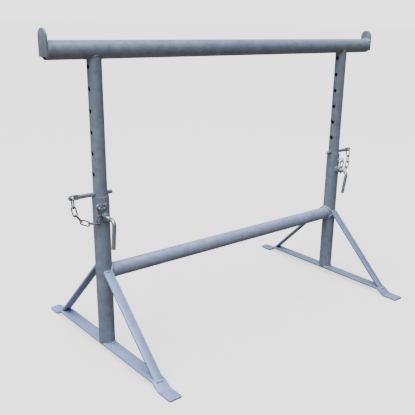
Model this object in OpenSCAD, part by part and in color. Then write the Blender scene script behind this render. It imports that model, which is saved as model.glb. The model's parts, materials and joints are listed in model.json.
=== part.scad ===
// Builders trestle with an adjustable head.
// X runs along the beam, Y from front to back and Z up.
// The origin is on the floor, below the middle of the beam.
// Lengths are in millimetres and angles in degrees.

/* [Stance] */
// Distance between the centres of the two legs
leg_spacing = 1000; // [600:10:1040]
// Length of each foot bar, front to back
foot_length = 710; // [660:10:900]
// Width of the foot bars
foot_width = 40; // [36:1:60]
// Thickness of the foot bars
foot_thickness = 6; // [5:1:12]
// Clear height under the raised middle of each foot bar
foot_raise = 17; // [10:1:30]
// Length of the flat pad at each end of a foot bar
pad_length = 50; // [40:1:75]
// Slope of the crank between the pad and the raised middle
crank_angle = 32; // [24:1:45]
// Inside radius of the bends in a foot bar
foot_bend_radius = 12; // [6:1:16]
// Corner radius at the front ends of the foot bars
front_corner_radius = 3; // [2:1:15]
// Corner radius at the rear ends of the foot bars
rear_corner_radius = 12; // [2:1:15]

/* [Legs] */
// Outside diameter of the outer legs
leg_diameter = 48.3; // [46.5:0.1:56]
// Wall of the outer legs
leg_wall = 3.2; // [2:0.1:3.6]
// Length of the outer legs, from the foot bar to the rim
leg_length = 459; // [430:1:600]
// Outside diameter of the inner legs
inner_leg_diameter = 40; // [36:0.1:40.5]
// Wall of the inner legs
inner_leg_wall = 2.5; // [2:0.1:4]
// Length of inner leg below its lowest hole
inner_leg_tail = 52; // [30:1:60]

/* [Pin holes] */
// Diameter of the holes in the inner legs
hole_diameter = 14; // [12.8:0.1:16]
// Distance between neighbouring holes
hole_pitch = 57.5; // [45:0.5:60]
// Number of holes in each inner leg
hole_count = 8; // [7:1:8]
// Distance from the axis of the beam to the top hole
first_hole_drop = 42.5; // [36:0.5:60]
// Number of holes above the one that holds the pin
holes_above_pin_count = 6; // [5:1:6]

/* [Beam] */
// Length of the beam tube between its end stops
beam_length = 1270; // [1240:2:1900]
// Outside diameter of the beam
beam_diameter = 48.3; // [42:0.1:60]
// Wall of the beam
beam_wall = 3.2; // [2:0.1:5]
// Width of an end stop
stop_width = 44; // [34:1:60]
// Thickness of an end stop
stop_thickness = 6; // [4:0.5:10]
// Height of an end stop above the top of the beam
stop_rise = 29; // [25:1:60]
// Height of the lower edge of an end stop above the underside of the beam
stop_lift = 8; // [4:1:15]

/* [Stretcher and braces] */
// Outside diameter of the stretcher
stretcher_diameter = 44.5; // [30:0.1:45]
// Wall of the stretcher
stretcher_wall = 2.6; // [2:0.1:4]
// Height of the axis of the stretcher above the floor
stretcher_height = 250; // [200:1:300]
// Width of the flat braces
brace_width = 28; // [20:1:36]
// Thickness of the braces
brace_thickness = 6; // [4:0.5:10]
// Height of the upper end of a front brace above the floor
front_brace_top = 259; // [200:1:300]
// Height by which a rear brace reaches above a front one
rear_brace_rise = 11; // [0:1:20]
// Distance that the upper corner of a brace stands out from the leg
brace_lip = 1; // [0.5:0.1:2]
// Distance that the lower end of a brace reaches past the start of the crank of its foot bar
brace_overhang = 10; // [0:1:12]

/* [Pins] */
// Diameter of the pins
pin_diameter = 12; // [10:0.1:12.4]
// Length of pin that shows past the leg on the inner side
pin_tip_length = 13; // [6:1:25]
// Length of pin from the leg to the middle of its eye
pin_eye_reach = 62; // [58:1:80]
// Length of the flattened outer end of a pin
pin_flat_length = 30; // [22:1:32]
// Height of the flattened end
pin_flat_height = 15; // [14:0.5:18]
// Thickness of the flattened end
pin_flat_thickness = 4.4; // [3:0.1:5]
// Length of pin past the eye, besides the round of its end
pin_eye_margin = 4; // [0:0.5:8]
// Diameter of the eye
pin_eye_diameter = 8; // [7.8:0.1:9]
// Chamfer on the rims of the eye
pin_eye_chamfer = 0.8; // [0.6:0.1:1.2]
// Chamfer on the tip of a pin
pin_chamfer = 1.5; // [0.5:0.1:3]

/* [Chains] */
// Diameter of the wire of the links
link_wire = 4; // [3.2:0.1:4.1]
// Inside length of a link
link_inner_length = 24; // [23:0.5:25]
// Inside width of a link
link_inner_width = 8.4; // [8:0.1:9]
// Room between two links where they hang on each other
link_gap = 0.9; // [0.6:0.1:0.9]
// Room between the anchor link and the leg, which its weld fills
anchor_standoff = 1.4; // [1:0.1:2.5]
// Radius of the weld that holds the anchor link
anchor_weld_radius = 4; // [3:0.1:5]

/* [Locking screws] */
// Diameter of the locking screws
screw_diameter = 12; // [8:0.1:12.4]
// Distance from the rim of the leg down to the screw
screw_drop = 58; // [45:1:80]
// Distance from the leg out to the axis of the handle
handle_reach = 47; // [40:1:70]
// Length of the handle below the axis of the screw
handle_drop = 82; // [50:1:110]
// Radius of the bend, at the middle of the rod
handle_bend_radius = 16; // [10:1:20]
// Turn of the left handle away from straight down
left_handle_turn = 4; // [-30:1:30]
// Turn of the right handle away from straight down
right_handle_turn = 12; // [-30:1:30]
// Width of a nut across its flats
nut_width = 19; // [17:0.5:24]
// Height of a nut where it stands on the leg
nut_height = 10; // [6:0.5:14]
// Diameter of the hole in the leg behind a nut
screw_hole_diameter = 13.5; // [13.2:0.1:16]

/* [Clearances] */
// Room between parts that move against each other
running_gap = 0.3; // [0.2:0.05:0.4]

/* [Hidden] */
$fn = 64;
// Extra length of a cut past the face that it opens
overrun = 20;
// Flats that make up each bend of a foot bar
bend_steps = 6;

left = -1;
right = 1;
front = -1;
rear = 1;
galvanised = "LightSteelBlue";
galvanised_shade = "LightSlateGray";
bright_zinc = "Silver";

// Heights above the floor, and radii
foot_top = foot_raise + foot_thickness;
rim = foot_top + leg_length;
leg_radius = leg_diameter / 2;
inner_leg_radius = inner_leg_diameter / 2;
beam_radius = beam_diameter / 2;
pin_radius = pin_diameter / 2;
pin_height = rim + running_gap + pin_radius;
pinned_hole_height = pin_height + pin_radius + running_gap - hole_diameter / 2;
top_hole_height = pinned_hole_height + holes_above_pin_count * hole_pitch;
beam_height = top_hole_height + first_hole_drop;
inner_leg_bottom = top_hole_height - (hole_count - 1) * hole_pitch - inner_leg_tail;
screw_height = rim - screw_drop;

// End stop, measured from the axis of the beam
stop_radius = stop_width / 2;
stop_top = beam_radius + stop_rise;
stop_bottom = stop_lift - beam_radius;

// Crank of a foot bar: two equal bends with a straight slope between them
half_foot = foot_length / 2;
pad_start = half_foot - pad_length;
bend_radius = foot_bend_radius + foot_thickness / 2;
crank_slope = (foot_raise - 2 * bend_radius * (1 - cos(crank_angle))) / sin(crank_angle);
crank_start = pad_start - 2 * bend_radius * sin(crank_angle) - crank_slope * cos(crank_angle);
upper_bend = [crank_start, foot_raise + foot_thickness / 2 - bend_radius];
lower_bend = [pad_start, foot_thickness / 2 + bend_radius];

// Lower end of a brace, on the bend of the foot bar or past it on the slope: distance from the leg, height
outer_bend_radius = bend_radius + foot_thickness / 2;
brace_on_bend = min(brace_overhang, outer_bend_radius * sin(crank_angle));
brace_on_slope = brace_overhang - brace_on_bend;
brace_dip = outer_bend_radius - sqrt(pow(outer_bend_radius, 2) - pow(brace_on_bend, 2))
    + brace_on_slope * tan(crank_angle);
brace_foot = [crank_start + brace_overhang, foot_top - brace_dip];
rear_brace_top = front_brace_top + rear_brace_rise;

// Reach of the pin, outward from the axis of its leg
pin_tip = -leg_radius - pin_tip_length;
pin_eye = leg_radius + pin_eye_reach;
pin_round = pin_eye + pin_eye_margin;
pin_end = pin_round + pin_flat_height / 2;
pin_shank_end = pin_end - pin_flat_length;

// Links of a chain: those that lie flat to the front alternate with those that stand across it
link_end_radius = (link_inner_width + link_wire) / 2;
link_straight = link_inner_length - link_inner_width;
link_slack = link_inner_width / 2 - link_wire / 2 - link_gap;
flat_step = link_inner_length - link_wire - 2 * link_gap;
cross_step = link_inner_length + link_wire;

// Depth of the anchor link
anchor_depth = -leg_radius - anchor_standoff - link_wire / 2;

// Route of a chain from the pin to the anchor: lean of each link from straight down, towards the leg
chain_leans = [10, 35, 65, 90, 160, 190];
chain_count = len(chain_leans);
// Part of the way forward, from the eye to the anchor, that each link takes
pin_link_shift_share = 0.1;
chain_shift_shares = [0.13, 0.24, 0.17, 0.24, 0.12, 0];

// Places on a chain: outward from the axis of the leg, depth, height
eye_pivot = [pin_eye, 0, pin_height - pin_eye_diameter / 2 + link_wire / 2 + link_gap];
pin_link_shift = anchor_depth * pin_link_shift_share;
pin_link_pivot = eye_pivot + [0, pin_link_shift, -sqrt(pow(cross_step, 2) - pow(pin_link_shift, 2))];

function chain_shift(i) = anchor_depth * chain_shift_shares[i - 1];
function chain_run(i) = sqrt(pow(i % 2 == 1 ? flat_step : cross_step, 2) - pow(chain_shift(i), 2));
function chain_stride(i) = [
    -chain_run(i) * sin(chain_leans[i - 1]), chain_shift(i), -chain_run(i) * cos(chain_leans[i - 1])
];
function chain_pivot(i) = i == 0 ? pin_link_pivot : chain_pivot(i - 1) + chain_stride(i);

anchor_pivot = chain_pivot(chain_count);
anchor_end = anchor_pivot + link_slack * [-cos(45), 0, sin(45)];
anchor_middle = anchor_end - [link_straight / 2, 0, 0];
anchor_weld = anchor_end - [link_straight + link_end_radius, 0, 0];

// Outline of half a foot bar, from its middle to its end
function bend(centre, radius, from) = [
    for (i = [0 : bend_steps]) centre + radius * [cos(from - crank_angle * i / bend_steps),
        sin(from - crank_angle * i / bend_steps)]
];
function reversed(points) = [for (i = [len(points) - 1 : -1 : 0]) points[i]];
function mirrored(points) = [for (p = points) [-p[0], p[1]]];
foot_upper = concat(
    bend(upper_bend, outer_bend_radius, 90),
    reversed(bend(lower_bend, foot_bend_radius, 270)),
    [[half_foot, foot_thickness]]
);
foot_lower = concat(
    bend(upper_bend, foot_bend_radius, 90),
    reversed(bend(lower_bend, outer_bend_radius, 270)),
    [[half_foot, 0]]
);

// Shared shapes

// Puts its children on one leg, with +X pointing outward from the trestle
module on_leg(side) {
    translate([side * leg_spacing / 2, 0, 0]) mirror([side == left ? 1 : 0, 0, 0]) children();
}

// Extrudes an outline of depth and height along X, centred
module across(width) {
    rotate([90, 0, 90]) linear_extrude(height = width, center = true) children();
}

// Round bar or tube along X, centred
module along_beam(length, diameter) {
    rotate([0, 90, 0]) cylinder(h = length, d = diameter, center = true);
}

// The space that an outer leg fills, bore included
module leg_space() {
    cylinder(h = rim + overrun, d = leg_diameter);
}

// Side view of a foot bar, as depth and height
module foot_outline() {
    polygon(concat(foot_upper, reversed(foot_lower), mirrored(foot_lower), reversed(mirrored(foot_upper))));
}

// Plan of a foot bar from its middle to one end, whose corners are rounded
module half_foot_plan(end, radius) {
    mirror([0, end == front ? 1 : 0]) {
        translate([-foot_width / 2, 0]) square([foot_width, half_foot - radius]);
        translate([radius - foot_width / 2, 0]) square([foot_width - 2 * radius, half_foot]);
        for (x = [-1, 1]) {
            translate([x * (foot_width / 2 - radius), half_foot - radius]) circle(r = radius);
        }
    }
}

// Welded steel link, long side along Z, flat in the XZ plane
module link() {
    for (x = [-1, 1]) {
        translate([x * link_end_radius, 0, 0]) cylinder(h = link_straight, d = link_wire, center = true);
    }
    for (turn = [0, 180]) {
        rotate([0, turn, 0]) translate([0, 0, link_straight / 2]) rotate([90, 0, 0])
            rotate_extrude(angle = 180) translate([link_end_radius, 0]) circle(d = link_wire);
    }
}

// Link between two places, standing across the chain or lying flat to the front
module link_between(a, b, crossing) {
    way = b - a;
    tilt = asin(way[1] / norm(way));
    translate((a + b) / 2) rotate([-tilt, atan2(way[0], way[2]), 0]) rotate([0, 0, crossing ? 90 : 0]) link();
}

module leg(side) {
    translate([side * leg_spacing / 2, 0, 0]) difference() {
        translate([0, 0, foot_top]) cylinder(h = leg_length, d = leg_diameter);
        translate([0, 0, foot_top - overrun])
            cylinder(h = leg_length + 2 * overrun, d = leg_diameter - 2 * leg_wall);
        translate([0, 0, screw_height]) rotate([90, 0, 0])
            cylinder(h = leg_diameter, d = screw_hole_diameter);
    }
}

module inner_leg(side) {
    length = beam_height - inner_leg_bottom;
    translate([side * leg_spacing / 2, 0, 0]) difference() {
        translate([0, 0, inner_leg_bottom]) cylinder(h = length, d = inner_leg_diameter);
        translate([0, 0, inner_leg_bottom - overrun])
            cylinder(h = length + overrun, d = inner_leg_diameter - 2 * inner_leg_wall);
        translate([0, 0, beam_height]) along_beam(leg_diameter, beam_diameter);
        for (i = [0 : hole_count - 1]) {
            translate([0, 0, top_hole_height - i * hole_pitch]) along_beam(leg_diameter, hole_diameter);
        }
    }
}

module end_stop(side) {
    translate([side * (beam_length + stop_thickness) / 2, 0, beam_height]) across(stop_thickness) {
        translate([-stop_radius, stop_bottom]) square([stop_width, stop_top - stop_radius - stop_bottom]);
        translate([0, stop_top - stop_radius]) circle(r = stop_radius);
    }
}

module foot_bar(side) {
    translate([side * leg_spacing / 2, 0, 0]) intersection() {
        across(foot_width) foot_outline();
        linear_extrude(height = rim) {
            half_foot_plan(front, front_corner_radius);
            half_foot_plan(rear, rear_corner_radius);
        }
    }
}

// Flat bar cut square at its upper end and fitted to the foot bar
// Its corners are given as distance from the leg and height
module brace(side, end, top) {
    tip = [leg_radius + brace_lip, top];
    slope = atan2(tip[1] - brace_foot[1], brace_foot[0] - tip[0]);
    inside_tip = tip - brace_thickness * [sin(slope), cos(slope)];
    inside_foot = brace_foot - [brace_thickness / sin(slope), 0];
    corners = [tip, inside_tip, inside_foot, brace_foot];
    translate([side * leg_spacing / 2, 0, 0]) difference() {
        across(brace_width) polygon([for (p = corners) [end * p[0], p[1]]]);
        across(brace_width + overrun) foot_outline();
        leg_space();
    }
}

module screw_nut(side) {
    translate([side * leg_spacing / 2, 0, 0]) difference() {
        translate([0, 0, screw_height]) rotate([90, 30, 0])
            cylinder(h = leg_radius + nut_height, d = nut_width / cos(30), $fn = 6);
        leg_space();
        translate([0, 0, screw_height]) rotate([90, 0, 0])
            cylinder(h = leg_diameter + nut_height, d = screw_diameter + 2 * running_gap);
    }
}

// Threaded rod along -Y with its handle bent down, turned about its own axis
module locking_screw(side, turn) {
    tip = inner_leg_radius + running_gap;
    straight = leg_radius + handle_reach - handle_bend_radius - tip;
    translate([side * leg_spacing / 2, 0, screw_height]) rotate([0, turn, 0]) {
        translate([0, -tip, 0]) rotate([90, 0, 0]) cylinder(h = straight, d = screw_diameter);
        translate([0, -tip - straight, -handle_bend_radius]) rotate([90, 0, -90])
            rotate_extrude(angle = 90) translate([handle_bend_radius, 0]) circle(d = screw_diameter);
        translate([0, -leg_radius - handle_reach, -handle_drop])
            cylinder(h = handle_drop - handle_bend_radius, d = screw_diameter);
    }
}

module pin(side) {
    on_leg(side) translate([0, 0, pin_height]) difference() {
        union() {
            translate([pin_tip, 0, 0]) rotate([0, 90, 0]) {
                cylinder(h = pin_chamfer, d1 = pin_diameter - 2 * pin_chamfer, d2 = pin_diameter);
                translate([0, 0, pin_chamfer]) cylinder(h = pin_shank_end - pin_tip, d = pin_diameter);
            }
            rotate([90, 0, 0]) linear_extrude(height = pin_flat_thickness, center = true) {
                translate([pin_shank_end, -pin_flat_height / 2])
                    square([pin_round - pin_shank_end, pin_flat_height]);
                translate([pin_round, 0]) circle(d = pin_flat_height);
            }
        }
        translate([pin_eye, 0, 0]) rotate([90, 0, 0]) {
            cylinder(h = pin_diameter, d = pin_eye_diameter, center = true);
            for (face = [0, 180]) {
                rotate([0, face, 0]) translate([0, 0, pin_flat_thickness / 2 - pin_eye_chamfer])
                    cylinder(h = pin_radius, d1 = pin_eye_diameter, d2 = pin_eye_diameter + pin_diameter);
            }
        }
    }
}

module pin_link(side) {
    on_leg(side) link_between(eye_pivot, pin_link_pivot, true);
}

// Links are counted from the anchor
module chain_link(side, count) {
    i = chain_count + 1 - count;
    on_leg(side) link_between(chain_pivot(i - 1), chain_pivot(i), i % 2 == 0);
}

module chain_anchor(side) {
    on_leg(side) difference() {
        union() {
            translate(anchor_middle) rotate([0, 90, 0]) link();
            translate(anchor_weld) rotate([-90, 0, 0]) cylinder(h = leg_radius, r = anchor_weld_radius);
        }
        leg_space();
    }
}

// Sub-parts

module top_beam() {
    color(galvanised) translate([0, 0, beam_height]) difference() {
        along_beam(beam_length, beam_diameter);
        along_beam(beam_length + 2 * overrun, beam_diameter - 2 * beam_wall);
    }
}

module stretcher() {
    color(galvanised) difference() {
        translate([0, 0, stretcher_height]) along_beam(leg_spacing, stretcher_diameter);
        translate([0, 0, stretcher_height]) along_beam(leg_spacing, stretcher_diameter - 2 * stretcher_wall);
        for (side = [left, right]) {
            translate([side * leg_spacing / 2, 0, 0]) leg_space();
        }
    }
}

module left_end_stop() { color(galvanised) end_stop(left); }
module right_end_stop() { color(galvanised) end_stop(right); }
module left_inner_leg() { color(galvanised_shade) inner_leg(left); }
module right_inner_leg() { color(galvanised_shade) inner_leg(right); }
module left_leg() { color(galvanised_shade) leg(left); }
module right_leg() { color(galvanised_shade) leg(right); }
module left_foot_bar() { color(galvanised) foot_bar(left); }
module right_foot_bar() { color(galvanised) foot_bar(right); }
module left_front_brace() { color(galvanised) brace(left, front, front_brace_top); }
module left_rear_brace() { color(galvanised_shade) brace(left, rear, rear_brace_top); }
module right_front_brace() { color(galvanised) brace(right, front, front_brace_top); }
module right_rear_brace() { color(galvanised_shade) brace(right, rear, rear_brace_top); }
module left_screw_nut() { color(bright_zinc) screw_nut(left); }
module right_screw_nut() { color(bright_zinc) screw_nut(right); }
module left_chain_anchor() { color(bright_zinc) chain_anchor(left); }
module right_chain_anchor() { color(bright_zinc) chain_anchor(right); }
module left_pin() { color(bright_zinc) pin(left); }
module right_pin() { color(bright_zinc) pin(right); }
module left_pin_link() { color(bright_zinc) pin_link(left); }
module right_pin_link() { color(bright_zinc) pin_link(right); }
module left_locking_screw() { color(bright_zinc) locking_screw(left, left_handle_turn); }
module right_locking_screw() { color(bright_zinc) locking_screw(right, right_handle_turn); }
module left_chain_link(count) { color(bright_zinc) chain_link(left, count); }
module right_chain_link(count) { color(bright_zinc) chain_link(right, count); }

top_beam();
left_end_stop();
right_end_stop();
left_inner_leg();
right_inner_leg();
left_leg();
right_leg();
left_foot_bar();
right_foot_bar();
left_front_brace();
left_rear_brace();
right_front_brace();
right_rear_brace();
stretcher();
left_screw_nut();
right_screw_nut();
left_chain_anchor();
right_chain_anchor();
left_pin();
right_pin();
left_pin_link();
right_pin_link();
left_locking_screw();
right_locking_screw();
left_chain_link(1);  // left_chain_link_1
left_chain_link(2);  // left_chain_link_2
left_chain_link(3);  // left_chain_link_3
left_chain_link(4);  // left_chain_link_4
left_chain_link(5);  // left_chain_link_5
left_chain_link(6);  // left_chain_link_6
right_chain_link(1);  // right_chain_link_1
right_chain_link(2);  // right_chain_link_2
right_chain_link(3);  // right_chain_link_3
right_chain_link(4);  // right_chain_link_4
right_chain_link(5);  // right_chain_link_5
right_chain_link(6);  // right_chain_link_6
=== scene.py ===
"""Looks of a galvanised builders trestle: finishes, welds, threads and forged ends on its fixed frame.

Lengths are in metres and angles in degrees.
The axes are those of the frame: X along the beam, Y to the back and Z up.
"""

from __future__ import annotations

import json
import logging
import math
from dataclasses import dataclass, field, replace
from enum import Enum
from typing import Callable, Sequence

import bmesh
import bpy
import numpy as np
from mathutils import Matrix, Quaternion, Vector, noise

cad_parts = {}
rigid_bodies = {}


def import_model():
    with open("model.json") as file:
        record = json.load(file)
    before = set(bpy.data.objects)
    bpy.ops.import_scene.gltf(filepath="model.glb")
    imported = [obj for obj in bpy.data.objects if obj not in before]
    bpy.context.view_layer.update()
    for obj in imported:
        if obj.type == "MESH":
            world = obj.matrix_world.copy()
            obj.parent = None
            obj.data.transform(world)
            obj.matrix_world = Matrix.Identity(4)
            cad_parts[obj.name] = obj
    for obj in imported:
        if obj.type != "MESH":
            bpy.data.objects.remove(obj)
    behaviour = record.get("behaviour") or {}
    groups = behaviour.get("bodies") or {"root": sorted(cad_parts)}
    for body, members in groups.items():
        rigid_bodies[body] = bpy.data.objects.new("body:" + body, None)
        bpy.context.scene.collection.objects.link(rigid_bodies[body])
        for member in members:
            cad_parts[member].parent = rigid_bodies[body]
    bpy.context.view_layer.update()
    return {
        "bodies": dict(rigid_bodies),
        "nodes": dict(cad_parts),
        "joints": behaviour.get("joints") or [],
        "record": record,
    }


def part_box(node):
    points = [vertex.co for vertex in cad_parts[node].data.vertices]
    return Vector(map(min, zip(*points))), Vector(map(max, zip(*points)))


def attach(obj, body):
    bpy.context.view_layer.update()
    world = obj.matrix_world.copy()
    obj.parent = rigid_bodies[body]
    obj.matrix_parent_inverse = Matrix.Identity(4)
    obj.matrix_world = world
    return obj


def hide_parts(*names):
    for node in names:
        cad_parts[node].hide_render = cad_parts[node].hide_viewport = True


LOG = logging.getLogger("trestle")
MM = 0.001
WHITE = (1.0, 1.0, 1.0, 1.0)
Colour = tuple[float, float, float]
Point = tuple[float, float, float]


class Place(Enum):
    """A side or end of the trestle, by its sign."""

    @property
    def label(self) -> str:
        """Word that stands in the names of its nodes."""
        return self.name.lower()


class Side(Place):
    """The two legs, by the sign of X."""

    LEFT = -1
    RIGHT = 1


class End(Place):
    """The two ends of a foot, by the sign of Y."""

    FRONT = -1
    REAR = 1


class Slot(Enum):
    """Material slots of the record."""

    TUBE = "galvanised_tube"
    FLAT = "galvanised_flat"
    ZINC = "bright_zinc"


@dataclass(frozen=True)
class Box:
    """Lowest and highest corner of a node at rest."""

    low: Vector
    high: Vector

    @classmethod
    def of(cls, node: str) -> Box:
        """Box of a node of the frame.

        Args:
            node: Name of the node.

        Returns:
            Its box.
        """
        low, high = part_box(node)
        return cls(low, high)

    @property
    def middle(self) -> Vector:
        """Point midway between the corners."""
        return (self.low + self.high) / 2

    @property
    def size(self) -> Vector:
        """Lengths of the sides."""
        return self.high - self.low


@dataclass
class Skin:
    """Points and faces of a mesh."""

    points: np.ndarray
    faces: list[tuple[int, ...]]

    def moved(self, matrix: Matrix) -> Skin:
        """Same faces with every point carried by a matrix.

        Args:
            matrix: Rotation and translation to carry the points by.

        Returns:
            The moved skin.
        """
        turn = np.array(matrix.to_3x3())
        return Skin(self.points @ turn.T + np.array(matrix.translation), self.faces)

    def joined(self, other: Skin) -> Skin:
        """This skin and another as one mesh.

        Args:
            other: Skin to add.

        Returns:
            Both skins, with the faces of the second renumbered.
        """
        start = len(self.points)
        faces = self.faces + [tuple(start + i for i in face) for face in other.faces]
        return Skin(np.vstack([self.points, other.points]), faces)

    def mesh(self, name: str) -> bpy.types.Mesh:
        """Mesh of this skin, with its faces turned outward.

        Args:
            name: Name of the mesh.

        Returns:
            The mesh.
        """
        mesh = bpy.data.meshes.new(name)
        mesh.from_pydata([tuple(point) for point in self.points], [], self.faces)
        shape = bmesh.new()
        shape.from_mesh(mesh)
        bmesh.ops.recalc_face_normals(shape, faces=shape.faces)
        shape.to_mesh(mesh)
        shape.free()
        return mesh


def full_turn(count: int) -> np.ndarray:
    """Angles once round.

    Args:
        count: Number of angles.

    Returns:
        The angles, in radians.
    """
    return np.arange(count) * 2 * math.pi / count


def circle(sides: int) -> np.ndarray:
    """Unit circle.

    Args:
        sides: Number of points.

    Returns:
        Points of the circle, one row each.
    """
    return np.column_stack([np.cos(full_turn(sides)), np.sin(full_turn(sides))])


def loft(rings: Sequence[np.ndarray], closed: bool = False) -> Skin:
    """Joins rings of equal count into one skin.

    Args:
        rings: Rings of points, in order.
        closed: Whether the last ring joins the first; otherwise both ends are capped.

    Returns:
        The skin.
    """
    count, sides = len(rings), len(rings[0])
    faces: list[tuple[int, ...]] = []
    for i in range(count if closed else count - 1):
        here, there = i * sides, (i + 1) % count * sides
        for j in range(sides):
            k = (j + 1) % sides
            faces.append((here + j, here + k, there + k, there + j))
    if not closed:
        faces.append(tuple(reversed(range(sides))))
        faces.append(tuple((count - 1) * sides + j for j in range(sides)))
    return Skin(np.vstack(rings), faces)


def evenly(points: np.ndarray, step: float, closed: bool) -> np.ndarray:
    """Path with its points at even distances.

    Args:
        points: Points of the path.
        step: Wanted distance between two points.
        closed: Whether the path ends where it starts.

    Returns:
        The new points.
    """
    path = np.vstack([points, points[:1]]) if closed else points
    run = np.concatenate([[0], np.cumsum(np.linalg.norm(np.diff(path, axis=0), axis=1))])
    count = max(4, round(run[-1] / step))
    places = np.linspace(0, run[-1], count + 1)[: count if closed else None]
    return np.column_stack([np.interp(places, run, path[:, axis]) for axis in range(3)])


def sweep(path: np.ndarray, up: Sequence[float], outlines: Sequence[np.ndarray],
          closed: bool = False) -> Skin:
    """Carries an outline along a path.

    Args:
        path: Points of the path.
        up: Direction that the first axis of the outline keeps to, square to the path.
        outlines: Outline at each point of the path, in two axes.
        closed: Whether the path ends where it starts.

    Returns:
        The swept skin.
    """
    if closed:
        along = np.roll(path, -1, axis=0) - np.roll(path, 1, axis=0)
    else:
        along = np.gradient(path, axis=0)
    along /= np.linalg.norm(along, axis=1)[:, None]
    first = np.array(up, float) - along * (along @ np.array(up, float))[:, None]
    first /= np.linalg.norm(first, axis=1)[:, None]
    second = np.cross(along, first)
    rings = [
        centre + outline[:, :1] * one + outline[:, 1:] * two
        for centre, outline, one, two in zip(path, outlines, first, second)
    ]
    return loft(rings, closed)


class Graph:
    """Short way to add and join the nodes of a shader tree."""

    def __init__(self, tree: bpy.types.NodeTree) -> None:
        """Takes a tree and empties it."""
        self.tree = tree
        tree.nodes.clear()

    def add(self, kind: str, inputs: dict[str | int, object] | None = None,
            **settings: object) -> bpy.types.Node:
        """Adds a node.

        Args:
            kind: Type of the node.
            inputs: Values, or sockets to link, by the name or number of the input.
            **settings: Attributes of the node.

        Returns:
            The new node.
        """
        node = self.tree.nodes.new(kind)
        for name, value in settings.items():
            setattr(node, name, value)
        for key, value in (inputs or {}).items():
            if isinstance(value, bpy.types.NodeSocket):
                self.tree.links.new(value, node.inputs[key])
            else:
                node.inputs[key].default_value = value
        return node

    def spread(self, value: bpy.types.NodeSocket, low: object, high: object, start: object = 0.0,
               stop: object = 1.0) -> bpy.types.NodeSocket:
        """Maps a value from one range to another and clamps it.

        Args:
            value: Socket with the value.
            low: Value that becomes start.
            high: Value that becomes stop.
            start: Lower end of the result.
            stop: Upper end of the result.

        Returns:
            Socket with the result.
        """
        names = ("Value", "From Min", "From Max", "To Min", "To Max")
        node = self.add("ShaderNodeMapRange", dict(zip(names, (value, low, high, start, stop))))
        return node.outputs["Result"]

    def mix(self, share: object, first: object, second: object) -> bpy.types.NodeSocket:
        """Mixes two colours.

        Args:
            share: Share of the second colour.
            first: First colour or socket.
            second: Second colour or socket.

        Returns:
            Socket with the mixed colour.
        """
        return self.add("ShaderNodeMix", {0: share, 6: first, 7: second}, data_type="RGBA").outputs[2]

    def blend(self, share: object, first: object, second: object) -> bpy.types.NodeSocket:
        """Mixes two values.

        Args:
            share: Share of the second value.
            first: First value or socket.
            second: Second value or socket.

        Returns:
            Socket with the mixed value.
        """
        return self.add("ShaderNodeMix", {0: share, 2: first, 3: second}, data_type="FLOAT").outputs[0]

    def math(self, operation: str, first: object, second: object) -> bpy.types.NodeSocket:
        """Joins two values by an arithmetic operation.

        Args:
            operation: Name of the operation.
            first: First value or socket.
            second: Second value or socket.

        Returns:
            Socket with the result.
        """
        return self.add("ShaderNodeMath", {0: first, 1: second}, operation=operation).outputs[0]


class Effect(Enum):
    """Surface effects that several finishes share, each one a node group."""

    MOTTLE = "zinc_mottle"
    STREAKS = "rain_streaks"
    GRAIN = "dipped_grain"
    SCUFFS = "handling_scuffs"


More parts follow.
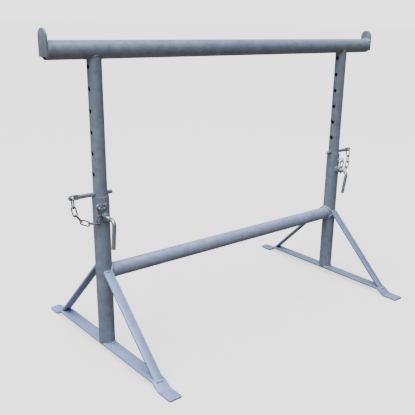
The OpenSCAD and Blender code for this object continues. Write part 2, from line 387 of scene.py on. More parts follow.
class EffectShop:
    """Builds each shared node group once."""

    def __init__(self) -> None:
        """Builds all the groups."""
        makers: dict[Effect, Callable[[bpy.types.NodeTree], None]] = {
            Effect.MOTTLE: self._mottle,
            Effect.STREAKS: self._streaks,
            Effect.GRAIN: self._grain,
            Effect.SCUFFS: self._scuffs,
        }
        self.groups: dict[Effect, bpy.types.NodeTree] = {}
        for effect, maker in makers.items():
            tree = bpy.data.node_groups.new(effect.value, "ShaderNodeTree")
            maker(tree)
            self.groups[effect] = tree

    @staticmethod
    def _start(tree: bpy.types.NodeTree, inputs: dict[str, str], outputs: dict[str, str]) -> tuple[
            Graph, bpy.types.NodeOutputs, bpy.types.NodeSocket]:
        """Names the sockets of a group and adds its first nodes.

        Args:
            tree: The group.
            inputs: Kind of each input, by name.
            outputs: Kind of each output, by name.

        Returns:
            Its graph, the values given to it and the place on the surface.
        """
        for direction, sockets in (("INPUT", inputs), ("OUTPUT", outputs)):
            for name, kind in sockets.items():
                tree.interface.new_socket(name, in_out=direction, socket_type=f"NodeSocket{kind}")
        graph = Graph(tree)
        place = graph.add("ShaderNodeTexCoord").outputs["Object"]
        return graph, graph.add("NodeGroupInput").outputs, place

    def _mottle(self, tree: bpy.types.NodeTree) -> None:
        """Cloudy zinc with faint crystal cells, between a dark and a light colour."""
        inputs = {
            "Dark": "Color", "Light": "Color", "Cloud Scale": "Float", "Cell Scale": "Float",
            "Cell Share": "Float",
        }
        graph, given, place = self._start(tree, inputs, {"Color": "Color", "Mask": "Float"})
        cloud = graph.add("ShaderNodeTexNoise", {
            "Vector": place, "Scale": given["Cloud Scale"], "Detail": 6.0, "Roughness": 0.65,
        })
        cells = graph.add("ShaderNodeTexVoronoi", {"Vector": place, "Scale": given["Cell Scale"]})
        tone = graph.add("ShaderNodeSeparateColor", {"Color": cells.outputs["Color"]}).outputs[0]
        soft = graph.spread(cloud.outputs["Fac"], low=0.3, high=0.7)
        mask = graph.blend(given["Cell Share"], soft, tone)
        colour = graph.mix(mask, given["Dark"], given["Light"])
        graph.add("NodeGroupOutput", {"Color": colour, "Mask": mask})

    def _streaks(self, tree: bpy.types.NodeTree) -> None:
        """Faint upright streaks that rain leaves, over a given colour."""
        inputs = {"Base": "Color", "Stain": "Color", "Amount": "Float"}
        graph, given, place = self._start(tree, inputs, {"Color": "Color"})
        drawn = graph.add("ShaderNodeMapping", {"Vector": place, "Scale": (90.0, 90.0, 5.0)}).outputs[0]
        runs = graph.add("ShaderNodeTexNoise", {
            "Vector": drawn, "Scale": 1.0, "Detail": 4.0, "Roughness": 0.6,
        })
        share = graph.spread(runs.outputs["Fac"], low=0.48, high=0.75, stop=given["Amount"])
        graph.add("NodeGroupOutput", {"Color": graph.mix(share, given["Base"], given["Stain"])})

    def _grain(self, tree: bpy.types.NodeTree) -> None:
        """Height of a dipped surface: slow waves with fine grit on them."""
        inputs = {"Wave Scale": "Float", "Grit Scale": "Float", "Grit Share": "Float"}
        graph, given, place = self._start(tree, inputs, {"Height": "Float"})
        wave = graph.add("ShaderNodeTexNoise", {"Vector": place, "Scale": given["Wave Scale"], "Detail": 2.0})
        grit = graph.add("ShaderNodeTexNoise", {"Vector": place, "Scale": given["Grit Scale"], "Detail": 3.0})
        height = graph.blend(given["Grit Share"], wave.outputs["Fac"], grit.outputs["Fac"])
        graph.add("NodeGroupOutput", {"Height": height})

    def _scuffs(self, tree: bpy.types.NodeTree) -> None:
        """Small worn patches on plated hardware, over a given colour."""
        inputs = {"Base": "Color", "Worn": "Color", "Scale": "Float", "Amount": "Float"}
        graph, given, place = self._start(tree, inputs, {"Color": "Color", "Mask": "Float"})
        patch = graph.add("ShaderNodeTexNoise", {
            "Vector": place, "Scale": given["Scale"], "Detail": 8.0, "Roughness": 0.7,
        })
        mask = graph.spread(patch.outputs["Fac"], low=0.52, high=0.62)
        share = graph.math("MULTIPLY", mask, given["Amount"])
        colour = graph.mix(share, given["Base"], given["Worn"])
        graph.add("NodeGroupOutput", {"Color": colour, "Mask": mask})


@dataclass(frozen=True)
class Finish:
    """A metal finish and the values of its effects."""

    name: str
    slot: Slot
    dark: Colour
    light: Colour
    stain: Colour
    metallic: float
    smoothest: float
    roughest: float
    cloud_scale: float = 26.0
    cell_scale: float = 110.0
    cell_share: float = 0.22
    streaks: float = 0.3
    scuffs: float = 0.0
    scuff_scale: float = 160.0
    wave_scale: float = 90.0
    grit_scale: float = 1400.0
    grit_share: float = 0.35
    bump: float = 0.25
    bump_height: float = 0.5 * MM

    def material(self, effects: EffectShop) -> bpy.types.Material:
        """Builds the material.

        Args:
            effects: Shared node groups.

        Returns:
            The material.
        """
        made = bpy.data.materials.new(self.name)
        made.use_nodes = True
        made.diffuse_color = (*self.light, 1.0)
        graph = Graph(made.node_tree)
        mottle = self._effect(graph, effects, Effect.MOTTLE, {
            "Dark": (*self.dark, 1.0), "Light": (*self.light, 1.0), "Cloud Scale": self.cloud_scale,
            "Cell Scale": self.cell_scale, "Cell Share": self.cell_share,
        })
        streaks = self._effect(graph, effects, Effect.STREAKS, {
            "Base": mottle.outputs["Color"], "Stain": (*self.stain, 1.0), "Amount": self.streaks,
        })
        colour, mask = streaks.outputs["Color"], mottle.outputs["Mask"]
        if self.scuffs > 0:
            scuffed = self._effect(graph, effects, Effect.SCUFFS, {
                "Base": colour, "Worn": (*self.stain, 1.0), "Scale": self.scuff_scale,
                "Amount": self.scuffs,
            })
            colour, mask = scuffed.outputs["Color"], scuffed.outputs["Mask"]
        grain = self._effect(graph, effects, Effect.GRAIN, {
            "Wave Scale": self.wave_scale, "Grit Scale": self.grit_scale, "Grit Share": self.grit_share,
        })
        bump = graph.add("ShaderNodeBump", {
            "Strength": self.bump, "Distance": self.bump_height, "Height": grain.outputs["Height"],
        })
        shader = graph.add("ShaderNodeBsdfPrincipled", {
            "Base Color": colour, "Metallic": self.metallic, "Normal": bump.outputs["Normal"],
            "Roughness": graph.spread(mask, 0.0, 1.0, self.smoothest, self.roughest),
        })
        graph.add("ShaderNodeOutputMaterial", {"Surface": shader.outputs[0]})
        return made

    @staticmethod
    def _effect(graph: Graph, effects: EffectShop, effect: Effect,
                values: dict[str, object]) -> bpy.types.Node:
        """Places a shared group in a material.

        Args:
            graph: Graph of the material.
            effects: Shared node groups.
            effect: Which group.
            values: Values or sockets for its inputs.

        Returns:
            The node of the group.
        """
        return graph.add("ShaderNodeGroup", values, node_tree=effects.groups[effect])


TUBE_ZINC = Finish(
    name="dipped_tube", slot=Slot.TUBE, dark=(0.198, 0.226, 0.284), light=(0.335, 0.373, 0.46),
    stain=(0.40, 0.43, 0.48), metallic=0.35, smoothest=0.42, roughest=0.58, cloud_scale=38.0, cell_share=0.3,
)
# Painted light: a lighter, bluer copy of the tube finish for the stretcher, so that its top reads brighter
# than the beam's under the same lamps.
LIT_STRETCHER_ZINC = replace(
    TUBE_ZINC, name="dipped_stretcher", dark=(0.265, 0.29, 0.40), light=(0.45, 0.48, 0.65),
    stain=(0.48, 0.51, 0.58),
)
FLAT_ZINC = Finish(
    name="dipped_flat", slot=Slot.FLAT, dark=(0.26, 0.305, 0.475), light=(0.355, 0.41, 0.625),
    stain=(0.50, 0.50, 0.56), metallic=0.3, smoothest=0.45, roughest=0.6, cell_share=0.15, streaks=0.25,
)
# Painted shade: a darker copy of the flat finish for the right leg's foot bar and braces, standing in for
# light that falls off to the right.
SHADED_FLAT_ZINC = replace(
    FLAT_ZINC, name="dipped_flat_dull", dark=(0.18, 0.222, 0.335), light=(0.248, 0.30, 0.445),
    stain=(0.42, 0.43, 0.49),
)
STOP_ZINC = replace(
    TUBE_ZINC, name="dipped_stop", slot=Slot.FLAT, dark=(0.19, 0.215, 0.262), light=(0.32, 0.355, 0.42),
    stain=(0.42, 0.44, 0.48), cell_share=0.22, streaks=0.25,
)
WELD_ZINC = Finish(
    name="dipped_weld", slot=Slot.TUBE, dark=(0.30, 0.33, 0.38), light=(0.50, 0.54, 0.60),
    stain=(0.25, 0.27, 0.30), metallic=0.35, smoothest=0.38, roughest=0.6, cloud_scale=120.0, bump=0.5,
)
BRIGHT_ZINC = Finish(
    name="bright_zinc", slot=Slot.ZINC, dark=(0.33, 0.34, 0.37), light=(0.50, 0.51, 0.55),
    stain=(0.22, 0.21, 0.20), metallic=0.75, smoothest=0.3, roughest=0.48, cloud_scale=140.0,
    cell_scale=400.0, streaks=0.0, scuffs=0.5, wave_scale=300.0, bump=0.2, bump_height=0.2 * MM,
)
CHAIN_ZINC = replace(
    BRIGHT_ZINC, name="dull_chain_zinc", dark=(0.20, 0.20, 0.205), light=(0.34, 0.34, 0.345),
    stain=(0.10, 0.10, 0.10), metallic=0.7, smoothest=0.35, roughest=0.55,
)
FINISHES = (
    TUBE_ZINC, LIT_STRETCHER_ZINC, FLAT_ZINC, SHADED_FLAT_ZINC, STOP_ZINC, WELD_ZINC, BRIGHT_ZINC, CHAIN_ZINC,
)


class Workshop:
    """Turns skins into dressed pieces that ride on the bodies of the frame."""

    def __init__(self, frame: dict[str, object]) -> None:
        """Builds the finishes and keeps the nodes of the frame.
        """
        effects = EffectShop()
        self.nodes: dict[str, bpy.types.Object] = frame["nodes"]
        self.body_of = {
            node: body for body, nodes in frame["record"]["behaviour"]["bodies"].items() for node in nodes
        }
        self.materials = {finish.name: finish.material(effects) for finish in FINISHES}

    def dress(self, node: str, finish: Finish) -> None:
        """Gives a node of the frame a finish.

        Args:
            node: Name of the node.
            finish: Its finish.
        """
        shape = self.nodes[node]
        if not shape.material_slots:
            shape.data.materials.append(None)
        for place in shape.material_slots:
            place.material = self.materials[finish.name]
        LOG.info("dressed %s in %s", node, finish.name)

    def piece(self, name: str, mesh: bpy.types.Mesh | Skin, finish: Finish, body: str,
              stands_for: str | None = None, crease: float = 40.0) -> bpy.types.Object:
        """Makes a piece of the visual model.

        Args:
            name: Name of the piece.
            mesh: Its mesh, or its skin.
            finish: Its finish.
            body: Body that it rides on.
            stands_for: Node that it replaces, if any.
            crease: Angle above which an edge stays sharp.

        Returns:
            The new object.
        """
        if isinstance(mesh, Skin):
            mesh = mesh.mesh(name)
        mesh.shade_smooth()
        mesh.set_sharp_from_angle(angle=math.radians(crease))
        mesh.materials.clear()
        mesh.materials.append(self.materials[finish.name])
        shape = bpy.data.objects.new(name, mesh)
        bpy.context.scene.collection.objects.link(shape)
        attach(shape, body)
        if stands_for:
            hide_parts(stands_for)
        LOG.info("made %s on %s, %d faces", name, body, len(mesh.polygons))
        return shape

    def weld(self, name: str, bead: WeldBead, path: np.ndarray, up: Sequence[float], closed: bool,
             body: str, finish: Finish = WELD_ZINC) -> None:
        """Lays one weld.

        Args:
            name: Name of the piece.
            bead: Its bead.
            path: Points that it runs along.
            up: Direction square to most of the path.
            closed: Whether it runs right round.
            body: Body that it rides on.
            finish: Its finish.
        """
        self.piece(name, bead.skin(path, up, closed), finish, body, crease=bead.crease)

    def softened(self, node: str, width: float, sharp: float = 40.0, steps: int = 2,
                 same_point: float = 0.001 * MM, same_plane: float = 0.5) -> bpy.types.Mesh:
        """Copy of a node's mesh with its sharp edges rounded over.

        Args:
            node: Name of the node.
            width: Width of the rounding on each face.
            sharp: Angle above which an edge is rounded.
            steps: Faces across the rounding.
            same_point: Distance below which two points become one.
            same_plane: Angle below which two faces become one.

        Returns:
            The new mesh.
        """
        shape = bmesh.new()
        shape.from_mesh(self.nodes[node].data)
        bmesh.ops.remove_doubles(shape, verts=shape.verts, dist=same_point)
        bmesh.ops.dissolve_limit(
            shape, angle_limit=math.radians(same_plane), verts=shape.verts, edges=shape.edges,
        )
        edges = [e for e in shape.edges if e.is_manifold and e.calc_face_angle() > math.radians(sharp)]
        bmesh.ops.bevel(
            shape, geom=edges, offset=width, offset_type="OFFSET", segments=steps, profile=0.5,
            affect="EDGES", clamp_overlap=True,
        )
        mesh = bpy.data.meshes.new(f"{node}_softened")
        shape.to_mesh(mesh)
        shape.free()
        return mesh


@dataclass(frozen=True)
class WeldBead:
    """A bead of weld laid along a path, with the ripples of its runs."""

    radius: float
    ripple_pitch: float = 2.4 * MM
    ripple_share: float = 0.07
    wobble_share: float = 0.12
    wobble_scale: float = 160.0
    steps_per_ripple: int = 5
    sides: int = 12
    tip_share: float = 0.05
    crease: float = 75.0

    def skin(self, points: np.ndarray, up: Sequence[float], closed: bool) -> Skin:
        """Builds the bead.

        Args:
            points: Points of its path.
            up: Direction square to most of the path.
            closed: Whether it runs right round.

        Returns:
            The skin of the bead.
        """
        step = self.ripple_pitch / self.steps_per_ripple
        path = evenly(points, step, closed)
        ring = circle(self.sides)
        outlines = []
        for i, place in enumerate(path):
            phase = i / self.steps_per_ripple % 1
            wobble = noise.noise(Vector(place) * self.wobble_scale)
            size = 1 + self.ripple_share * (1 - 2 * phase) + self.wobble_share * wobble
            if not closed:
                end = min(i, len(path) - 1 - i) * step / self.radius
                size *= math.sqrt(max(self.tip_share, 1 - max(0.0, 1 - end) ** 2))
            outlines.append(ring * self.radius * size)
        return sweep(path, up, outlines, closed)


@dataclass
class Base:
    """Outer legs, feet, braces and stretcher, with their welds."""

    shop: Workshop
    edge: float = 0.7 * MM
    stretcher_bead: WeldBead = WeldBead(4.2 * MM)
    leg_bead: WeldBead = WeldBead(3.0 * MM)
    brace_bead: WeldBead = WeldBead(3.4 * MM)
    lift_share: float = 0.25
    path_points: int = 96
    body: str = "base"
    flat_finish: dict[Side, Finish] = field(init=False)
    legs: dict[Side, Box] = field(init=False)

    def __post_init__(self) -> None:
        """Sets the finish of the flats, the right ones in a darker copy with painted shade, and reads the
        places of the legs.
        """
        # Painted shade: the right flats take the darker copy of the flat finish.
        self.flat_finish = {Side.LEFT: FLAT_ZINC, Side.RIGHT: SHADED_FLAT_ZINC}
        self.legs = {side: Box.of(f"{side.label}_leg") for side in Side}

    def build(self) -> None:
        """Dresses the nodes of the base and lays its welds."""
        # The stretcher takes the lighter copy of the tube finish, which is painted light.
        self.shop.dress("stretcher", LIT_STRETCHER_ZINC)
        for side in Side:
            self.shop.dress(f"{side.label}_leg", TUBE_ZINC)
            self._flat(side, "foot_bar")
            self._stretcher_weld(side)
            self._leg_weld(side)
            for end in End:
                self._flat(side, f"{end.label}_brace")
                self._brace_welds(side, end)

    def _flat(self, side: Side, name: str) -> None:
        """Replaces a flat bar by one with rolled edges.

        Args:
            side: Its side.
            name: Its name, less the side.
        """
        node = f"{side.label}_{name}"
        mesh = self.shop.softened(node, self.edge)
        self.shop.piece(f"{node}_rolled", mesh, self.flat_finish[side], self.body, node)

    def _stretcher_weld(self, side: Side) -> None:
        """Lays the weld round one end of the stretcher."""
        leg, tube = self.legs[side], Box.of("stretcher")
        lift = self.stretcher_bead.radius * self.lift_share
        radius, turns = tube.size.z / 2 + lift, full_turn(self.path_points)
        depth = radius * np.cos(turns)
        reach = np.sqrt((leg.size.x / 2 + lift) ** 2 - depth**2)
        points = np.column_stack([
            leg.middle.x - side.value * reach, leg.middle.y + depth,
            tube.middle.z + radius * np.sin(turns),
        ])
        name = f"{side.label}_stretcher_weld"
        self.shop.weld(name, self.stretcher_bead, points, (1, 0, 0), True, self.body)

    def _leg_weld(self, side: Side) -> None:
        """Lays the weld between a leg and its foot bar, along the bar's edges where the leg overhangs it."""
        leg, bar = self.legs[side], Box.of(f"{side.label}_foot_bar")
        lift = self.leg_bead.radius * self.lift_share
        radius, turns = leg.size.x / 2 + lift, full_turn(self.path_points)
        half = bar.size.x / 2
        across = radius * np.cos(turns)
        over = np.clip(np.abs(across) - half, 0, None)
        points = np.column_stack([
            leg.middle.x + np.clip(across, -half, half), leg.middle.y + radius * np.sin(turns),
            leg.low.z + lift - over / over.max() * self.leg_bead.radius,
        ])
        self.shop.weld(f"{side.label}_leg_weld", self.leg_bead, points, (0, 0, 1), True, self.body)

    def _brace_welds(self, side: Side, end: End) -> None:
        """Lays the welds across the upper and lower end of a brace."""
        name = f"{side.label}_{end.label}_brace"
        leg, brace = self.legs[side], Box.of(name)
        radius, half = leg.size.x / 2, brace.size.x / 2 - self.brace_bead.radius / 2
        across = np.linspace(-half, half, self.path_points)
        reach = np.sqrt(radius**2 - across**2)
        upper = np.column_stack([
            leg.middle.x + across, leg.middle.y + end.value * reach, brace.high.z + reach - radius,
        ])
        tip = brace.low.y if end is End.FRONT else brace.high.y
        lower = np.column_stack([
            leg.middle.x + across, np.full_like(across, tip), np.full_like(across, brace.low.z),
        ])
        for place, path in (("top", upper), ("foot", lower)):
            self.shop.weld(f"{name}_{place}_weld", self.brace_bead, path, (0, 0, 1), False, self.body)


@dataclass
class Head:
    """Beam, end stops and inner legs, with their welds."""

    shop: Workshop
    edge: float = 0.8 * MM
    leg_bead: WeldBead = WeldBead(1.4 * MM)
    stop_bead: WeldBead = WeldBead(2.6 * MM)
    dab_share: float = 3.0
    lift_share: float = 0.25
    path_points: int = 96
    body: str = "head"

    def build(self) -> None:
        """Dresses the nodes of the head and lays its welds."""
        self.shop.dress("top_beam", TUBE_ZINC)
        for side in Side:
            self.shop.dress(f"{side.label}_inner_leg", TUBE_ZINC)
            node = f"{side.label}_end_stop"
            mesh = self.shop.softened(node, self.edge)
            self.shop.piece(f"{node}_rolled", mesh, STOP_ZINC, self.body, node)
            self._leg_weld(side)
            self._stop_welds(side)

    def _leg_weld(self, side: Side) -> None:
        """Lays the weld between an inner leg and the beam."""
        beam, leg = Box.of("top_beam"), Box.of(f"{side.label}_inner_leg")
        lift = self.leg_bead.radius * self.lift_share
        radius, turns = leg.size.x / 2 + lift, full_turn(self.path_points)
        depth = radius * np.sin(turns)
        drop = np.sqrt((beam.size.z / 2 + lift) ** 2 - depth**2)
        points = np.column_stack([
            leg.middle.x + radius * np.cos(turns), leg.middle.y + depth, beam.middle.z - drop,
        ])
        name = f"{side.label}_beam_weld"
        self.shop.weld(name, self.leg_bead, points, (0, 0, 1), True, self.body, TUBE_ZINC)

    def _stop_welds(self, side: Side) -> None:
        """Lays the weld over the beam against an end stop, and a dab at each lower corner."""
        beam, stop = Box.of("top_beam"), Box.of(f"{side.label}_end_stop")
        radius = beam.size.z / 2
        inner = stop.low.x if side is Side.RIGHT else stop.high.x
        lift = self.stop_bead.radius * self.lift_share
        half = stop.size.y / 2 - self.stop_bead.radius
        start = math.acos(half / radius)
        turns = np.linspace(start, math.pi - start, self.path_points)
        points = np.column_stack([
            np.full_like(turns, inner - side.value * lift), (radius + lift) * np.cos(turns),
            beam.middle.z + (radius + lift) * np.sin(turns),
        ])
        skin = self.stop_bead.skin(points, (1, 0, 0), False)
        outer = math.sqrt(radius**2 - (beam.middle.z - stop.low.z) ** 2)
        dab = np.linspace(outer - self.dab_share * self.stop_bead.radius, outer, self.path_points)
        for end in End:
            path = np.column_stack([
                np.full_like(dab, inner + side.value * lift), end.value * dab, np.full_like(dab, stop.low.z),
            ])
            skin = skin.joined(self.stop_bead.skin(path, (0, 0, 1), False))
        name = f"{side.label}_end_stop_weld"
        self.shop.piece(name, skin, WELD_ZINC, self.body, crease=self.stop_bead.crease)


@dataclass
class Pin:
    """A round pin whose outer end is hammered flat and drilled for the chain."""

    shop: Workshop
    side: Side
    shank: float = 12 * MM
    chamfer: float = 1.5 * MM
    flat_thickness: float = 4.4 * MM
    flat_length: float = 30 * MM
    eye_margin: float = 4 * MM
    forge_length: float = 7 * MM
    eye: float = 8 * MM
    eye_flare: float = 0.7 * MM
    squareness: float = 0.72
    crease: float = 35.0
    sides: int = 48
    end_rings: int = 24
    step: float = 0.5 * MM

    def build(self) -> None:
        """Makes the pin and hides the plain one."""
        node = f"{self.side.label}_pin"
        box = Box.of(node)
        outward = self.side.value
        tip = box.low.x if self.side is Side.RIGHT else box.high.x
        half = box.size.z / 2
        length = box.size.x
        quarter = np.linspace(0, math.pi / 2, self.end_rings)
        runs = np.unique(np.concatenate([
            np.arange(0, length, self.step), length - half * (1 - np.sin(quarter)),
        ]))
        rings = []
        for run in runs[:-1]:
            rings.append(self._ring(run, length, half) * [outward, 1, 1] + [tip, 0, box.middle.z])
        shape = self.shop.piece(f"{node}_forged", loft(rings), BRIGHT_ZINC, node, node, self.crease)
        eye = length - half - self.eye_margin
        self._drill(shape, Vector((tip + outward * eye, 0, box.middle.z)))

    def _ring(self, run: float, length: float, half: float) -> np.ndarray:
        """Outline of the pin at one place.

        Args:
            run: Distance from the tip.
            length: Length of the pin.
            half: Half the height of the flat end.

        Returns:
            Points of the outline, with the run along X.
        """
        start = length - self.flat_length
        forged = min(1.0, max(0.0, (run - start + self.forge_length / 2) / self.forge_length))
        forged = forged * forged * (3 - 2 * forged)
        round_size = self.shank / 2 - max(0.0, self.chamfer - run)
        tall = round_size + (half - round_size) * forged
        past = run - (length - half)
        if past > 0:
            tall = math.sqrt(max(0.0, half**2 - past**2))
        thick = round_size + (self.flat_thickness / 2 - round_size) * forged
        power = 1 - self.squareness * forged
        ring = circle(self.sides)
        square = np.sign(ring) * np.abs(ring) ** power
        return np.column_stack([np.full(self.sides, run), thick * square[:, 0], tall * square[:, 1]])

    def _drill(self, shape: bpy.types.Object, place: Vector) -> None:
        """Cuts the eye, with flared rims, through the flat end.

        Args:
            shape: The pin.
            place: Middle of the eye.
        """
        depths = (self.shank, self.flat_thickness / 2, self.flat_thickness / 2 - self.eye_flare)
        radii = (self.eye / 2 + self.eye_flare, self.eye / 2 + self.eye_flare, self.eye / 2)
        near = [(-depth, radius) for depth, radius in zip(depths, radii)]
        profile = near + [(-depth, radius) for depth, radius in reversed(near)]
        ring = circle(self.sides)
        rings = [
            np.column_stack([
                place.x + radius * ring[:, 0], np.full(self.sides, depth), place.z + radius * ring[:, 1],
            ])
            for depth, radius in profile
        ]
        cutter = bpy.data.objects.new("eye_cutter", loft(rings).mesh("eye_cutter"))
        bpy.context.scene.collection.objects.link(cutter)
        cut = shape.modifiers.new("eye", "BOOLEAN")
        cut.object, cut.operation, cut.solver = cutter, "DIFFERENCE", "EXACT"
        bpy.context.view_layer.update()
        solved = shape.evaluated_get(bpy.context.evaluated_depsgraph_get())
        drilled = bpy.data.meshes.new_from_object(solved)
        shape.modifiers.clear()
        drilled.set_sharp_from_angle(angle=math.radians(self.crease))
        shape.data = drilled
        bpy.data.objects.remove(cutter)


@dataclass
class Chain:
    """The links that tie a pin to its leg, each bent from wire and welded shut."""

    shop: Workshop
    side: Side
    link_count: int = 6
    weld_share: float = 0.16
    weld_length: float = 3.2 * MM
    path_step: float = 0.6 * MM
    bend_points: int = 24
    sides: int = 16
    anchor_bead: WeldBead = WeldBead(3.2 * MM)
    anchor_points: int = 40
    anchor_sink_shares: tuple[float, float] = (1 / 4, 1 / 3)

    def build(self) -> None:
        """Makes the links and hides the plain ones."""
        names = [f"{self.side.label}_pin_link"]
        names += [f"{self.side.label}_chain_link_{i}" for i in range(1, self.link_count + 1)]
        for node in names:
            centre, axes, sizes = self._pose(node)
            place = Matrix.Translation(centre) @ Matrix(axes).transposed().to_4x4()
            self.shop.piece(f"{node}_welded", self._link(sizes).moved(place), CHAIN_ZINC, node, node)
        self._anchor(sizes)

    def _pose(self, node: str) -> tuple[Vector, list[Vector], np.ndarray]:
        """Finds how a link lies.

        Args:
            node: Name of the link's node.

        Returns:
            Its centre, its long, wide and thin axes, and its sizes along them.
        """
        faces = self.shop.nodes[node].data.polygons
        places = np.array([face.center for face in faces])
        areas = np.array([face.area for face in faces])
        centre = areas @ places / areas.sum()
        spread = (places - centre) * np.sqrt(areas)[:, None]
        _, vectors = np.linalg.eigh(spread.T @ spread)
        long, wide = Vector(vectors[:, 2]), Vector(vectors[:, 1])
        axes = [long, wide, long.cross(wide)]
        corners = np.array([vertex.co for vertex in self.shop.nodes[node].data.vertices]) - centre
        sizes = np.ptp(corners @ np.array(axes).T, axis=0)
        return Vector(centre), axes, sizes

    def _link(self, sizes: np.ndarray) -> Skin:
        """Builds a link at the origin, long along X and wide along Y.

        Args:
            sizes: Its length, width and wire.

        Returns:
            The skin of the link.
        """
        wire = sizes[2]
        bend = (sizes[1] - wire) / 2
        straight = (sizes[0] - sizes[1]) / 2
        half_turn = np.linspace(-math.pi / 2, math.pi / 2, self.bend_points)
        arc = np.column_stack([
            straight + bend * np.cos(half_turn), bend * np.sin(half_turn), np.zeros(self.bend_points),
        ])
        path = evenly(np.vstack([arc, arc * [-1, -1, 1]]), self.path_step, True)
        seam = np.where(path[:, 1] > 0, np.exp(-((path[:, 0] / self.weld_length * 2) ** 2)), 0)
        outlines = [circle(self.sides) * wire / 2 * (1 + self.weld_share * share) for share in seam]
        return sweep(path, (0, 0, 1), outlines, True)

    def _anchor(self, sizes: np.ndarray) -> None:
        """Makes the link that is welded to the leg, with its weld.

        Args:
            sizes: Length, width and wire of a link.
        """
        node = f"{self.side.label}_chain_anchor"
        box, leg = Box.of(node), Box.of(f"{self.side.label}_leg")
        outward = self.side.value
        far = box.high.x if self.side is Side.RIGHT else box.low.x
        wire = sizes[2]
        centre = Vector((far - outward * sizes[0] / 2, box.low.y + wire / 2, box.middle.z))
        turn = Matrix(((1, 0, 0), (0, 0, -1), (0, 1, 0))).to_4x4()
        skin = self._link(sizes).moved(Matrix.Translation(centre) @ turn)
        inner = centre.x - outward * (sizes[0] - wire) / 2
        reach = sizes[1] / 2
        heights = np.linspace(-reach, reach, self.anchor_points)
        inset, sink = self.anchor_sink_shares
        across = np.full_like(heights, inner - outward * wire * inset)
        depth = -np.sqrt((leg.size.x / 2) ** 2 - (across - leg.middle.x) ** 2)
        path = np.column_stack([across, depth - self.anchor_bead.radius * sink, centre.z + heights])
        skin = skin.joined(self.anchor_bead.skin(path, (1, 0, 0), False))
        self.shop.piece(f"{node}_welded", skin, BRIGHT_ZINC, "base", node, self.anchor_bead.crease)


HANDLE_TURN = {Side.LEFT: 4.0, Side.RIGHT: 12.0}


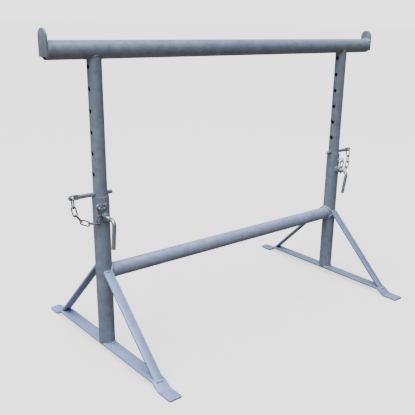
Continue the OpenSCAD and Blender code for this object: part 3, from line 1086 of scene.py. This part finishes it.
@dataclass
class LockingScrew:
    """A threaded rod with a bent handle, in a hexagon nut that is welded to the leg."""

    shop: Workshop
    side: Side
    rod: float = 12 * MM
    handle_drop: float = 82 * MM
    bend_radius: float = 16 * MM
    thread_pitch: float = 1.75 * MM
    thread_depth: float = 0.95 * MM
    thread_steps: int = 8
    plain_length: float = 5 * MM
    plain_rings: int = 6
    bend_rings: int = 20
    handle_rings: int = 30
    chamfer: float = 1.2 * MM
    crease: float = 50.0
    sides: int = 32
    running_gap: float = 0.3 * MM
    nut_sides: int = 120
    nut_crease: float = 30.0
    nut_flare: float = 0.8 * MM
    nut_face_share: float = 0.96
    nut_chamfer_angle: float = 60.0
    nut_chamfer_drops: tuple[float, ...] = (0.25 * MM, 0.5 * MM, 0.8 * MM, 1.1 * MM, 1.5 * MM)
    nut_chamfer_end: float = 2 * MM
    nut_bead: WeldBead = WeldBead(1.5 * MM)
    nut_lift_share: float = 0.25

    def build(self) -> None:
        """Makes the screw, its nut and the nut's weld."""
        self._screw()
        self._nut()

    def _screw(self) -> None:
        """Makes the screw and hides the plain one."""
        node = f"{self.side.label}_locking_screw"
        box, nut = Box.of(node), Box.of(f"{self.side.label}_screw_nut")
        leg = Box.of(f"{self.side.label}_leg")
        reach = -box.low.y - self.rod / 2 + box.high.y
        straight = reach - self.bend_radius
        threaded = straight - self.plain_length
        fine = np.arange(0, threaded, self.thread_pitch / self.thread_steps)
        plain = np.linspace(threaded, straight, self.plain_rings)
        quarter = np.linspace(0, math.pi / 2, self.bend_rings)[1:]
        down = np.linspace(self.bend_radius, self.handle_drop - self.chamfer, self.handle_rings)[1:]
        runs = np.concatenate([
            np.column_stack([np.concatenate([fine, plain]), np.zeros(len(fine) + len(plain))]),
            np.column_stack([
                straight + self.bend_radius * np.sin(quarter), self.bend_radius * (1 - np.cos(quarter)),
            ]),
            np.column_stack([np.full(len(down), reach), down]),
            [[reach, self.handle_drop]],
        ])
        path = np.column_stack([np.zeros(len(runs)), -runs[:, 0], -runs[:, 1]])
        outlines = [self._outline(run[0], threaded) for run in runs]
        outlines[-1] = circle(self.sides) * (self.rod / 2 - self.chamfer)
        place = Matrix.Translation((leg.middle.x, box.high.y, nut.middle.z))
        place @= Matrix.Rotation(math.radians(HANDLE_TURN[self.side]), 4, "Y")
        skin = sweep(path, (1, 0, 0), outlines).moved(place)
        self.shop.piece(f"{node}_threaded", skin, BRIGHT_ZINC, node, node, self.crease)

    def _outline(self, run: float, threaded: float) -> np.ndarray:
        """Outline of the rod, cut by the thread where it has one.

        Args:
            run: Distance from the tip along the screw.
            threaded: Length of the thread.

        Returns:
            Points of the outline.
        """
        ring = circle(self.sides)
        fade = min(1.0, max(0.0, (threaded - run) / self.thread_pitch))
        phase = (run / self.thread_pitch + np.arange(self.sides) / self.sides) % 1
        groove = np.abs(2 * phase - 1)
        return ring * (self.rod / 2 - self.thread_depth * fade * groove[:, None])

    def _nut(self) -> None:
        """Makes the nut and its weld, and hides the plain nut."""
        node = f"{self.side.label}_screw_nut"
        box, leg = Box.of(node), Box.of(f"{self.side.label}_leg")
        width = min(box.size.x, box.size.z)
        flat = 0.0 if box.size.x < box.size.z else math.pi / 6
        turns = full_turn(self.nut_sides)
        corner = (turns - flat + math.pi / 6) % (math.pi / 3) - math.pi / 6
        hexagon = width / 2 / np.cos(corner)
        radius = leg.size.x / 2
        rings = []
        for drop, size in self._nut_profile(width):
            edge = np.minimum(hexagon, size)
            rings.append(np.column_stack([
                leg.middle.x + edge * np.cos(turns), np.full(self.nut_sides, box.low.y + drop),
                box.middle.z + edge * np.sin(turns),
            ]))
        mouth, seat = rings[0].copy(), rings[-1].copy()
        for ring in (mouth, seat):
            ring[:, 1] = -np.sqrt(radius**2 - (ring[:, 0] - leg.middle.x) ** 2)
        skin = loft([mouth, *rings, seat], True)
        self.shop.piece(f"{node}_chamfered", skin, BRIGHT_ZINC, "base", node, self.nut_crease)
        lift = self.nut_bead.radius * self.nut_lift_share
        bead = hexagon + lift
        across = bead * np.cos(turns)
        path = np.column_stack([
            leg.middle.x + across, -np.sqrt(radius**2 - across**2) - lift,
            box.middle.z + bead * np.sin(turns),
        ])
        self.shop.weld(f"{node}_weld", self.nut_bead, path, (0, 1, 0), True, "base")

    def _nut_profile(self, width: float) -> list[tuple[float, float]]:
        """Places of the rings of a nut, from its bore over its face to its side.

        Args:
            width: Width across its flats.

        Returns:
            Distance from its face and largest radius of each ring.
        """
        bore = self.rod / 2 + self.running_gap
        face = width / 2 * self.nut_face_share
        slope = math.tan(math.radians(self.nut_chamfer_angle))
        profile = [(self.nut_flare, bore), (0.0, bore + self.nut_flare), (0.0, face)]
        profile += [(drop, face + drop * slope) for drop in self.nut_chamfer_drops]
        return profile + [(self.nut_chamfer_end, width)]


@dataclass
class Studio:
    """Camera, floor and soft light."""

    place: Point = (-1.319, -1.493, 0.957)
    aim: Point = (-0.019, 0.0, 0.280)
    roll: float = 1.3
    lens_mm: float = 53.44
    sensor_mm: float = 36.0
    shift: tuple[float, float] = (-0.0518, 0.0543)
    floor_size: float = 200.0
    floor_colour: Colour = (0.5, 0.42, 0.35)
    floor_bounce: Colour = (0.13, 0.105, 0.075)
    floor_glow: float = 1.5
    backdrop: float = 2.5
    sky: Colour = (1.0, 0.95, 0.88)
    sky_strength: float = 0.12
    top_strength: float = 8.0
    top_spread: float = 70.0
    top_place: Point = (0.0, 0.0, 4.0)
    top_way: Point = (0.25, 0.05, -1.0)
    top_colour: Colour = (0.70, 0.83, 1.0)
    panel_size: float = 1.6
    panel_colour: Colour = (0.84, 0.92, 1.0)
    panel_aim: Point = (0.0, 0.0, 0.4)
    fill_power: float = 25.0
    fill_place: Point = (-2.5, -1.0, 2.3)
    back_power: float = 16.0
    back_place: Point = (2.6, 1.2, 1.7)

    def build(self) -> None:
        """Builds the studio."""
        self._camera()
        self._floor()
        self._world()
        self._top_light()
        self._panel("fill_light", self.fill_place, self.fill_power)
        self._panel("back_light", self.back_place, self.back_power)

    def _camera(self) -> None:
        """Sets up the camera at the viewing angle."""
        data = bpy.data.cameras.new("camera")
        data.lens, data.sensor_width = self.lens_mm, self.sensor_mm
        data.shift_x, data.shift_y = self.shift
        camera = bpy.data.objects.new("camera", data)
        camera.location = self.place
        look = (Vector(self.aim) - Vector(self.place)).to_track_quat("-Z", "Y")
        camera.rotation_mode = "QUATERNION"
        camera.rotation_quaternion = look @ Quaternion((0, 0, 1), math.radians(self.roll))
        bpy.context.scene.collection.objects.link(camera)
        bpy.context.scene.camera = camera

    def _floor(self) -> None:
        """Lays a pale floor that throws little light back up."""
        mesh = bpy.data.meshes.new("floor")
        half = self.floor_size / 2
        corners = [(-half, -half, 0), (half, -half, 0), (half, half, 0), (-half, half, 0)]
        mesh.from_pydata(corners, [], [(0, 1, 2, 3)])
        floor = bpy.data.objects.new("floor", mesh)
        bpy.context.scene.collection.objects.link(floor)
        material = bpy.data.materials.new("floor")
        material.use_nodes = True
        graph = Graph(material.node_tree)
        seen = graph.add("ShaderNodeLightPath").outputs["Is Camera Ray"]
        shader = graph.add("ShaderNodeBsdfPrincipled", {
            "Base Color": graph.mix(seen, (*self.floor_bounce, 1.0), (*self.floor_colour, 1.0)),
            "Roughness": 1.0, "Specular IOR Level": 0.0, "Emission Color": WHITE,
            "Emission Strength": graph.math("MULTIPLY", seen, self.floor_glow),
        })
        graph.add("ShaderNodeOutputMaterial", {"Surface": shader.outputs[0]})
        mesh.materials.append(material)

    def _world(self) -> None:
        """Surrounds the scene with a pale backdrop and a faint sky."""
        world = bpy.data.worlds.new("studio")
        world.use_nodes = True
        graph = Graph(world.node_tree)
        seen = graph.add("ShaderNodeLightPath").outputs["Is Camera Ray"]
        sky = graph.add("ShaderNodeBackground", {"Color": (*self.sky, 1.0), "Strength": self.sky_strength})
        wall = graph.add("ShaderNodeBackground", {"Color": WHITE, "Strength": self.backdrop})
        both = graph.add("ShaderNodeMixShader", {0: seen, 1: sky.outputs[0], 2: wall.outputs[0]})
        graph.add("ShaderNodeOutputWorld", {"Surface": both.outputs[0]})
        bpy.context.scene.world = world

    def _top_light(self) -> None:
        """Lights everything evenly from above, as a wide soft box does."""
        data = bpy.data.lights.new("top_light", "SUN")
        data.energy, data.angle = self.top_strength, math.radians(self.top_spread)
        data.color = self.top_colour
        self._hang(data, Vector(self.top_place), Vector(self.top_way))

    def _panel(self, name: str, place: Point, power: float) -> None:
        """Hangs a soft panel that faces the trestle.

        Args:
            name: Name of the lamp.
            place: Where it hangs.
            power: Its power in watts.
        """
        data = bpy.data.lights.new(name, "AREA")
        data.shape, data.size = "SQUARE", self.panel_size
        data.energy, data.color = power, self.panel_colour
        self._hang(data, Vector(place), Vector(self.panel_aim) - Vector(place))

    @staticmethod
    def _hang(data: bpy.types.Light, place: Vector, way: Vector) -> None:
        """Hangs a lamp.

        Args:
            data: The lamp's data.
            place: Where it hangs.
            way: Direction that it shines in.
        """
        lamp = bpy.data.objects.new(data.name, data)
        lamp.location = place
        lamp.rotation_euler = way.to_track_quat("-Z", "Y").to_euler()
        bpy.context.scene.collection.objects.link(lamp)


def main() -> None:
    """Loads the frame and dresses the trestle."""
    logging.basicConfig(level=logging.INFO, format="%(name)s: %(message)s")
    for shape in list(bpy.data.objects):
        bpy.data.objects.remove(shape)
    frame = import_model()
    Studio().build()
    shop = Workshop(frame)
    Base(shop).build()
    Head(shop).build()
    for side in Side:
        Pin(shop, side).build()
        Chain(shop, side).build()
        LockingScrew(shop, side).build()


if __name__ == "__main__":
    main()
